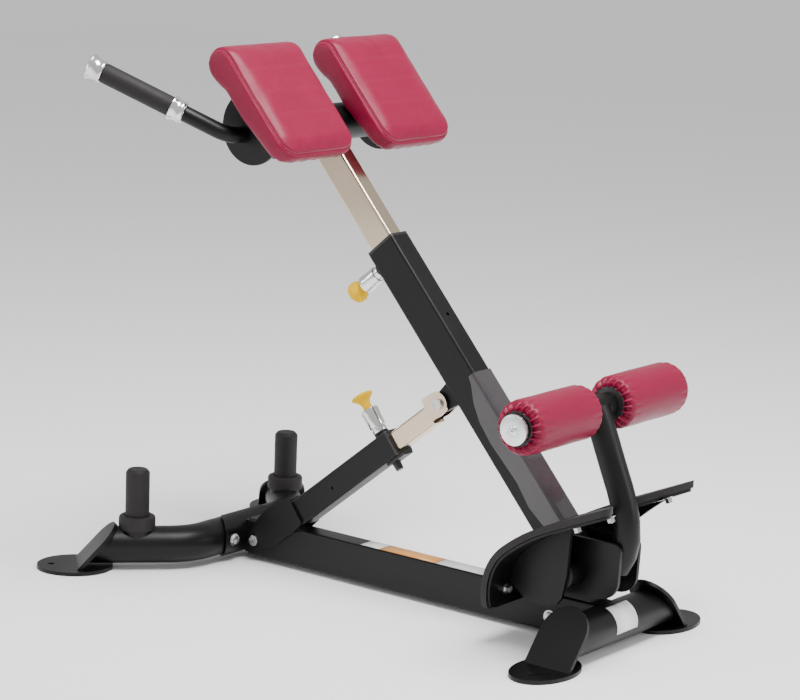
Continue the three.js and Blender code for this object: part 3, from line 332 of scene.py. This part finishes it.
for word, side in (("left", -1), ("right", 1)):
    half, radius = 102.5, 52.0
    profile = [(29.6, half - 4), (31, half - 1), (34, half + 0.4), (38, half - 0.4), (42, half - 2.2)]
    for i in range(11):
        a = math.pi / 2 * i / 10
        profile.append((radius - 9 + 9 * math.sin(a), half - 13 + 11 * math.cos(a) - 1.5))
    side_rings = [(radius, half - 14 - (2 * half - 28) * i / 26) for i in range(1, 26)]
    profile = profile + side_rings + [(r, -z) for r, z in reversed(profile)]
    centre = axle + Vector((0, side * (start + length / 2), 0))
    around = 288
    points, faces = [], []
    for k, (r, z) in enumerate(profile):
        end = min(1, max(0, (radius - 0.5 - r) / 8)) * min(1, max(0, (r - 30) / 4))
        rim = max(0, 1 - abs(abs(z) - (half - 14)) / 22)
        for i in range(around):
            a = math.tau * i / around
            wander = noise.noise(Vector((math.cos(a), math.sin(a), side + (3 if z > 0 else 0))) * 1.7)
            fold = abs(math.sin(9.5 * (a + 0.16 * wander)))
            depth = 1 - fold ** 0.55
            bulge = noise.noise(Vector((math.cos(a) * 1.3, math.sin(a) * 1.3, z / 55 + side * 9))) * 0.55
            lift = 2.2 * fold * end * (0.75 + 0.5 * wander) - 12 * depth * end
            rr = r + (bulge if r > radius - 1 else 0) - 2.6 * depth * rim
            zz = z + math.copysign(lift, z) if end else z
            points.append(centre + Vector((math.cos(a) * rr, side * zz, math.sin(a) * rr)) / 1000)
    rows = len(profile)
    for k in range(rows):
        for i in range(around):
            j = (i + 1) % around
            a, b = k * around, ((k + 1) % rows) * around
            faces.append((a + i, a + j, b + j, b + i))
    cover = bpy.data.meshes.new(f"roller_cover_{word}")
    cover.from_pydata(points, [], faces)
    cover.materials.append(crimson)
    shape = bmesh.new()
    shape.from_mesh(cover)
    bmesh.ops.recalc_face_normals(shape, faces=shape.faces)
    shape.to_mesh(cover)
    shape.free()
    cover.shade_smooth()
    piece = bpy.data.objects.new(f"roller_cover_{word}", cover)
    scene.collection.objects.link(piece)
    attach(piece, f"roller_{word}_spin")
    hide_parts(f"roller_pad_{word}")

    outward = (0, side, 0)
    spun(f"roller_hub_{word}", nylon, [(12.9, 0), (31, 0), (33.5, 1.2), (34, 2.5), (34, 4), (31, 5.5), (19, 6),
        (19, 210),
         (31, 210.6), (33.5, 211.6), (34, 213), (34, 214.8), (32.5, 216.2), (12.9, 216.4), (12.9, 0)],
         axle + Vector((0, side * start, 0)), outward, f"roller_{word}_spin", f"roller_core_{word}")
    spun(f"roller_end_cap_{word}", bright_aluminium, [(0, 0.4), (28.5, 0.4), (29, 1), (29, 6.8), (28, 8),
        (27, 8.4), (12.6, 8.4), (12.1, 7.6),
         (11.4, 7.6), (11, 8.4), (10, 8.4), (9.6, 7.8), (9, 7.8), (8.6, 8.6), (7.4, 9.9), (5, 10.6),
         (3.4, 10.7), (3.2, 7), (0, 7)],
         axle + Vector((0, side * 0.262, 0)), outward, "post_frame", f"roller_cap_{word}")

# ---- Handles: a bent bar welded to each pad bracket, a moulded grip pushed on it and a flared
# chromed cuff at each end of the grip, the outer one closed.
for word, side in (("left", -1), ("right", 1)):
    tip = Vector((shift - 1.006, side * 0.373, 1.030))
    knee = Vector((shift - 0.767, side * 0.244, 0.912))
    root = Vector((knee.x, side * 0.2044, knee.z))
    inward = (knee - tip).normalized()
    bend = []
    for i in range(13):
        t = i / 12
        bend.append(knee + Vector((0, -side, 0)) * 0.030 * (1 - t) ** 2 - inward * 0.030 * t ** 2)
    path = bpy.data.curves.new(f"handle_bar_{word}", "CURVE")
    path.dimensions, path.bevel_depth, path.bevel_resolution, path.use_fill_caps = "3D", 0.016, 10, True
    line = path.splines.new("POLY")
    spots = [root, *bend, tip]
    line.points.add(len(spots) - 1)
    for point, spot in zip(line.points, spots):
        point.co = (*spot, 1)
    draft = bpy.data.objects.new("handle_draft", path)
    scene.collection.objects.link(draft)
    tube = bpy.data.meshes.new_from_object(draft.evaluated_get(bpy.context.evaluated_depsgraph_get()))
    bpy.data.objects.remove(draft)
    tube.name = f"handle_bar_{word}"
    tube.materials.clear()
    tube.materials.append(black_coat)
    tube.shade_smooth()
    tube.set_sharp_from_angle(angle=math.radians(40))
    piece = bpy.data.objects.new(f"handle_bar_{word}", tube)
    scene.collection.objects.link(piece)
    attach(piece, "carriage")
    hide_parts(f"handle_{word}")
    ribs = [(20 - 0.35 * (k % 2), 24 + k * 1.45) for k in range(100)]
    spun(f"hand_grip_{word}", mat_rubber, [(16.3, 22), (18.5, 22), (19.6, 23), *ribs, (19.6, 169), (18.5, 170),
        (16.3, 170), (16.3, 22)],
         tip, inward, "carriage", f"grip_{word}")
    spun(f"grip_cuff_{word}", silver_chrome, [(16.4, 170.4), (24, 170.4), (25, 171.2), (24.8, 173), (23, 177),
        (21.6, 182), (21, 186),
         (22, 188.5), (22.4, 191), (22, 193.5), (20.5, 196), (20.8, 198), (19.6, 199), (16.4, 199), (16.4, 170.4)],
         tip, inward, "carriage", f"grip_collar_{word}")
    spun(f"grip_end_{word}", silver_chrome, [(0, -10), (18, -10), (22, -9.6), (25.6, -8), (26.4, -6.4),
        (26, -4.6), (23.4, -1), (21.6, 5),
         (21, 10), (21.6, 14), (22.6, 17), (22.4, 19.5), (21, 21.4), (16.4, 21.4), (16.4, -0.4), (0, -0.4)],
         tip, inward, "carriage", f"grip_cap_{word}")

# ---- Hip pads: two foam blocks on boards under sewn vinyl, rolled over at the upper end. The
# cover is blown up over the foam by cloth simulation, then drawn in along the seam.
def stuffed(name, source, cap):
    shape = bmesh.new()
    shape.from_mesh(source.data)
    bmesh.ops.remove_doubles(shape, verts=shape.verts, dist=0.00002)
    shape.normal_update()
    for v in shape.verts:
        v.co -= v.normal * 0.0012
    mesh = bpy.data.meshes.new(name)
    shape.to_mesh(mesh)
    shape.free()
    piece = bpy.data.objects.new(name, mesh)
    scene.collection.objects.link(piece)
    skin = piece.modifiers.new("skin", "REMESH")
    skin.mode, skin.voxel_size = "VOXEL", 0.005
    calm = piece.modifiers.new("calm", "SMOOTH")
    calm.factor, calm.iterations = 0.5, 6
    piece.data = bpy.data.meshes.new_from_object(piece.evaluated_get(bpy.context.evaluated_depsgraph_get()))
    piece.modifiers.clear()
    rest = [v.co.copy() for v in piece.data.vertices]
    cloth = piece.modifiers.new("cover", "CLOTH")
    cloth.settings.use_pressure, cloth.settings.uniform_pressure_force = True, 4
    cloth.settings.effector_weights.gravity = 0
    cloth.point_cache.frame_end = 20
    for f in range(1, 21):
        scene.frame_set(f)
    blown = piece.evaluated_get(bpy.context.evaluated_depsgraph_get())
    swelled = [v.co.copy() for v in blown.data.vertices]
    piece.modifiers.clear()
    scene.frame_set(1)
    for v, a, b in zip(piece.data.vertices, rest, swelled):
        # the underside is stapled flat to its board, and the foam under the top gives most
        height = ((a - post_point(0, 0, 0)).dot(post_out) * 1000 - 84) / 45
        limit = cap * min(1, max(0.12, height))
        move = max(0, (b - a).dot(v.normal)) + 0.0014
        v.co = a + v.normal * min(limit, move)
    settle = piece.modifiers.new("settle", "SMOOTH")
    settle.factor, settle.iterations = 0.5, 14
    piece.data = bpy.data.meshes.new_from_object(piece.evaluated_get(bpy.context.evaluated_depsgraph_get()))
    piece.modifiers.clear()
    return piece

thread = finish("pink_thread", "vinyl_red", skin, {"Colour": (0.5, 0.13, 0.18),
    "Worn Colour": (0.4, 0.09, 0.13), "Patch Scale": 200,
    "Grain Scale": 3000, "Grain Height": 0.4, "Smooth": 0.45, "Rough": 0.6})
stitch_tree = bpy.data.node_groups.new("stitches_along_seam", "GeometryNodeTree")
for label, kind, way in (("Geometry", "NodeSocketGeometry", "INPUT"), ("Pitch", FLOAT, "INPUT"),
    ("Thread", FLOAT, "INPUT"),
                         ("Material", "NodeSocketMaterial", "INPUT"), ("Geometry", "NodeSocketGeometry", "OUTPUT")):
    stitch_tree.interface.new_socket(label, in_out=way, socket_type=kind)
gi, go = stitch_tree.nodes.new("NodeGroupInput"), stitch_tree.nodes.new("NodeGroupOutput")
spaced = wired(stitch_tree, "GeometryNodeCurveToPoints", {"Curve": gi.outputs["Geometry"],
    "Length": gi.outputs["Pitch"]}, mode="LENGTH")
bead = wired(stitch_tree, "GeometryNodeMeshUVSphere", {"Segments": 8, "Rings": 5, "Radius": gi.outputs["Thread"]})
long = wired(stitch_tree, "GeometryNodeTransform", {"Geometry": bead.outputs["Mesh"], "Scale": (1, 1, 3.4)})
sewn = wired(stitch_tree, "GeometryNodeInstanceOnPoints", {"Points": spaced.outputs["Points"],
    "Instance": long.outputs[0],
             "Rotation": spaced.outputs["Rotation"]})
real = wired(stitch_tree, "GeometryNodeRealizeInstances", {"Geometry": sewn.outputs[0]})
dyed = wired(stitch_tree, "GeometryNodeSetMaterial", {"Geometry": real.outputs[0],
    "Material": gi.outputs["Material"]})
stitch_tree.links.new(dyed.outputs[0], go.inputs["Geometry"])

for word, side in (("left", -1), ("right", 1)):
    node = f"hip_pad_{word}"
    pad = stuffed(f"hip_cushion_{word}", nodes[node], 0.008)
    # seam between top panel and side band: down one side, round the lower end, up the other
    inner, outer, low, high, top = 50, 264, 980, 1210, 131
    corner = 40
    seam = [post_point(high + 33 * math.sin(a), side * outer, 100 + 31 * math.cos(a))
            for a in (math.radians(118 - 10 * i) for i in range(12))]
    seam += [post_point(high - (high - low - corner) * i / 40, side * outer, top) for i in range(1, 41)]
    seam += [post_point(low + corner - corner * math.sin(a), side * (outer - corner + corner * math.cos(a)),
        top - 2 * math.sin(a))
             for a in (math.radians(9 * i) for i in range(1, 11))]
    flip = lambda p: Vector((p.x, side * (inner + outer) / 1000 - p.y, p.z))
    seam += [flip(p) for p in reversed(seam)]
    surface = BVHTree.FromObject(pad, bpy.context.evaluated_depsgraph_get())
    seam = [surface.find_nearest(p)[0] for p in seam]
    line = BVHTree.FromPolygons([p for p in seam] + [p + Vector((0, 0, 1e-5)) for p in seam],
                                [(i, i + 1, i + 1 + len(seam), i + len(seam)) for i in range(len(seam) - 1)])
    shape = bmesh.new()
    shape.from_mesh(pad.data)
    near = [v for v in shape.verts if line.find_nearest(v.co, 0.012)[0]]
    close = {e for v in near for e in v.link_edges}
    bmesh.ops.subdivide_edges(shape, edges=list(close), cuts=1, use_grid_fill=True)
    bmesh.ops.triangulate(shape, faces=[f for f in shape.faces if len(f.verts) > 4])
    shape.normal_update()
    moves = {}
    for v in shape.verts:
        spot = line.find_nearest(v.co, 0.02)
        gap = spot[3] * 1000 if spot[0] else 99
        pinch = 1.9 * math.exp(-(gap / 2.4) ** 2) - 0.5 * math.exp(-((gap - 7) / 3.5) ** 2)
        rel = (v.co - post_point(0, 0, 0)) * 1000
        s, n = rel.dot(post_up), rel.dot(post_out)
        gather = math.exp(-((s - 984) / 14) ** 2) * math.exp(-((n - 100) / 12) ** 2)
        ruck = 0.7 * noise.noise(Vector((rel.y / 9, s / 34, side))) + 0.6 * math.sin(rel.y / 5.3)
        crease = noise.noise(Vector((rel.y / 60, s / 45, n / 60 + side * 3))) * 0.8
        rim = max(min(1, max(0, (abs(rel.y) - 252) / 6)), min(1, max(0, (60 - abs(rel.y)) / 6)),
            min(1, max(0, (997 - s) / 5)))
        lap = 9 * rim * min(1, max(0, (112 - n) / 20)) * min(1, max(0, (1190 - s) / 90))
        swell = -pinch + 1.7 * gather * ruck + (crease if n > 112 else 0.4 * crease)
        moves[v] = post_out * -lap / 1000 + v.normal * swell / 1000
    for v, move in moves.items():
        v.co += move
    shape.to_mesh(pad.data)
    shape.free()
    finer = pad.modifiers.new("finer", "SUBSURF")
    finer.levels = finer.render_levels = 1
    pad.data = bpy.data.meshes.new_from_object(pad.evaluated_get(bpy.context.evaluated_depsgraph_get()))
    pad.modifiers.clear()
    pad.data.materials.clear()
    pad.data.materials.append(crimson)
    pad.data.shade_smooth()
    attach(pad, "carriage")
    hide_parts(node)

    surface = BVHTree.FromObject(pad, bpy.context.evaluated_depsgraph_get())
    run = bpy.data.curves.new(f"seam_run_{word}", "CURVE")
    run.dimensions = "3D"
    spline = run.splines.new("POLY")
    spline.points.add(len(seam) - 1)
    crown = post_point(1090, side * 157, 150)
    for point, spot in zip(spline.points, seam):
        hit, normal, _, _ = surface.find_nearest(spot + (crown - spot).normalized() * 0.0032)
        point.co = (*(hit + normal * 0.00025), 1)
    draft = bpy.data.objects.new(f"seam_run_{word}", run)
    scene.collection.objects.link(draft)
    sewing = draft.modifiers.new("sewing", "NODES")
    sewing.node_group = stitch_tree
    sockets = {s.name: s.identifier for s in stitch_tree.interface.items_tree if s.in_out == "INPUT"}
    sewing[sockets["Pitch"]], sewing[sockets["Thread"]], sewing[sockets["Material"]] = 0.0048, 0.00052, thread
    stitches = bpy.data.meshes.new_from_object(draft.evaluated_get(bpy.context.evaluated_depsgraph_get()))
    bpy.data.objects.remove(draft)
    row = bpy.data.objects.new(f"seam_stitches_{word}", stitches)
    stitches.shade_smooth()
    scene.collection.objects.link(row)
    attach(row, "carriage")

# ---- Bolts and nuts: zinc hex heads on washers that hold the saddle, the front joint and the
# treads. One tree sets them on points that carry the way each head faces.
bolt_tree = bpy.data.node_groups.new("bolt_heads_on_points", "GeometryNodeTree")
for label, kind, way in (("Geometry", "NodeSocketGeometry", "INPUT"), ("Head Radius", FLOAT, "INPUT"),
    ("Head Height", FLOAT, "INPUT"),
                         ("Material", "NodeSocketMaterial", "INPUT"), ("Geometry", "NodeSocketGeometry", "OUTPUT")):
    bolt_tree.interface.new_socket(label, in_out=way, socket_type=kind)
gi, go = bolt_tree.nodes.new("NodeGroupInput"), bolt_tree.nodes.new("NodeGroupOutput")
seat = wired(bolt_tree, "ShaderNodeMath", {0: gi.outputs["Head Radius"], 1: 1.35}, operation="MULTIPLY").outputs[0]
washer = wired(bolt_tree, "GeometryNodeMeshCylinder", {"Vertices": 32, "Radius": seat, "Depth": 0.0016})
head = wired(bolt_tree, "GeometryNodeMeshCylinder", {"Vertices": 6, "Radius": gi.outputs["Head Radius"],
    "Depth": gi.outputs["Head Height"]})
dome = wired(bolt_tree, "GeometryNodeMeshCone", {"Vertices": 32, "Radius Bottom": gi.outputs["Head Radius"],
    "Radius Top": 0.002, "Depth": 0.002})
rise = wired(bolt_tree, "ShaderNodeCombineXYZ", {"Z": gi.outputs["Head Height"]}).outputs[0]
half_rise = wired(bolt_tree, "ShaderNodeVectorMath", {0: rise, "Scale": 0.5}, operation="SCALE").outputs[0]
lifted = wired(bolt_tree, "GeometryNodeTransform", {"Geometry": head.outputs["Mesh"], "Translation": half_rise})
crowned = wired(bolt_tree, "GeometryNodeTransform", {"Geometry": dome.outputs["Mesh"], "Translation": rise,
    "Scale": (0.86, 0.86, 1)})
whole = bolt_tree.nodes.new("GeometryNodeJoinGeometry")
for part in (washer.outputs["Mesh"], lifted.outputs[0], crowned.outputs[0]):
    bolt_tree.links.new(part, whole.inputs[0])
facing = wired(bolt_tree, "GeometryNodeInputNamedAttribute", {"Name": "facing"},
    data_type="FLOAT_VECTOR").outputs["Attribute"]
aim = wired(bolt_tree, "FunctionNodeAlignRotationToVector", {"Vector": facing}, axis="Z")
set_on = wired(bolt_tree, "GeometryNodeInstanceOnPoints", {"Points": gi.outputs["Geometry"],
    "Instance": whole.outputs[0],
               "Rotation": aim.outputs[0]})
real = wired(bolt_tree, "GeometryNodeRealizeInstances", {"Geometry": set_on.outputs[0]})
plated = wired(bolt_tree, "GeometryNodeSetMaterial", {"Geometry": real.outputs[0],
    "Material": gi.outputs["Material"]})
bolt_tree.links.new(plated.outputs[0], go.inputs["Geometry"])

def bolt_row(name, spots, radius, height, body):
    cloud = bpy.data.meshes.new(name)
    cloud.from_pydata([p for p, _ in spots], [], [])
    ways = cloud.attributes.new("facing", "FLOAT_VECTOR", "POINT")
    for item, (_, way) in zip(ways.data, spots):
        item.vector = way
    draft = bpy.data.objects.new(name + "_points", cloud)
    scene.collection.objects.link(draft)
    setting = draft.modifiers.new("setting", "NODES")
    setting.node_group = bolt_tree
    sockets = {s.name: s.identifier for s in bolt_tree.interface.items_tree if s.in_out == "INPUT"}
    setting[sockets["Head Radius"]], setting[sockets["Head Height"]] = radius, height
    setting[sockets["Material"]] = zinc_plate
    mesh = bpy.data.meshes.new_from_object(draft.evaluated_get(bpy.context.evaluated_depsgraph_get()))
    bpy.data.objects.remove(draft)
    piece = bpy.data.objects.new(name, mesh)
    scene.collection.objects.link(piece)
    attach(piece, body)

for side in (-1, 1):
    word = "left" if side < 0 else "right"
    bolt_row(f"saddle_bolt_{word}", [(Vector((shift - 0.8818, side * 0.0665, 0.048)), Vector((1, 0, 0)))],
        0.0095, 0.006, "base")
    bolt_row(f"front_joint_bolt_{word}", [(Vector((shift - 0.118, side * 0.0255, 0.039)),
        Vector((0, side, 0)))], 0.0105, 0.0065, "base")
    bolt_row(f"tread_bolts_{word}", [(Vector((shift - 0.1708, side * 0.099, 0.101)), Vector((1, 0, 0.02))),
             (Vector((shift - 0.018, side * 0.099, 0.2508)), Vector((0.42, 0, -0.9))),
             (Vector((shift + 0.054, side * 0.099, 0.2845)), Vector((0.3987, 0, -0.917)))], 0.0075, 0.0095,
             "post_frame")

# ---- Labels: plain stick-on plates, blank white and orange, on top of the base tube, and one
# white plate wrapped on the front tube. They carry no words or marks.
def label(name, tint, corners_of, rows, columns, body):
    stock = finish(name + "_film", "frame_black", skin, {"Colour": tint,
        "Worn Colour": tuple(0.93 * c for c in tint), "Patch Scale": 30,
                   "Grain Scale": 900, "Grain Height": 0.05, "Smooth": 0.3, "Rough": 0.42})
    mesh = bpy.data.meshes.new(name)
    points = [corners_of(i / rows, j / columns) for i in range(rows + 1) for j in range(columns + 1)]
    step = columns + 1
    mesh.from_pydata(points, [], [(i * step + j, (i + 1) * step + j, (i + 1) * step + j + 1, i * step + j + 1)
                                  for i in range(rows) for j in range(columns)])
    mesh.materials.append(stock)
    mesh.shade_smooth()
    piece = bpy.data.objects.new(name, mesh)
    scene.collection.objects.link(piece)
    body_of_film = piece.modifiers.new("film", "SOLIDIFY")
    body_of_film.thickness, body_of_film.offset = 0.0003, 1
    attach(piece, body)

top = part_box("base_tube")[1].z + 0.0001
for name, tint, x0, x1 in (("rear_blank_label", (0.78, 0.77, 0.74), -0.588, -0.541),
    ("orange_blank_label", (0.78, 0.33, 0.07), -0.539, -0.401),
                           ("front_blank_label", (0.78, 0.78, 0.77), -0.399, -0.284)):
    label(name, tint, lambda u, v, a=x0, b=x1: (shift + a + (b - a) * u, -0.019 + 0.038 * v, top), 1, 1, "base")
label("tube_blank_label", (0.8, 0.8, 0.79),
      lambda u, v: (shift + 0.0392 * math.cos(math.radians(76 - 88 * u)), -0.030 + 0.070 * v,
                    0.048 + 0.0392 * math.sin(math.radians(76 - 88 * u))), 16, 1, "base")
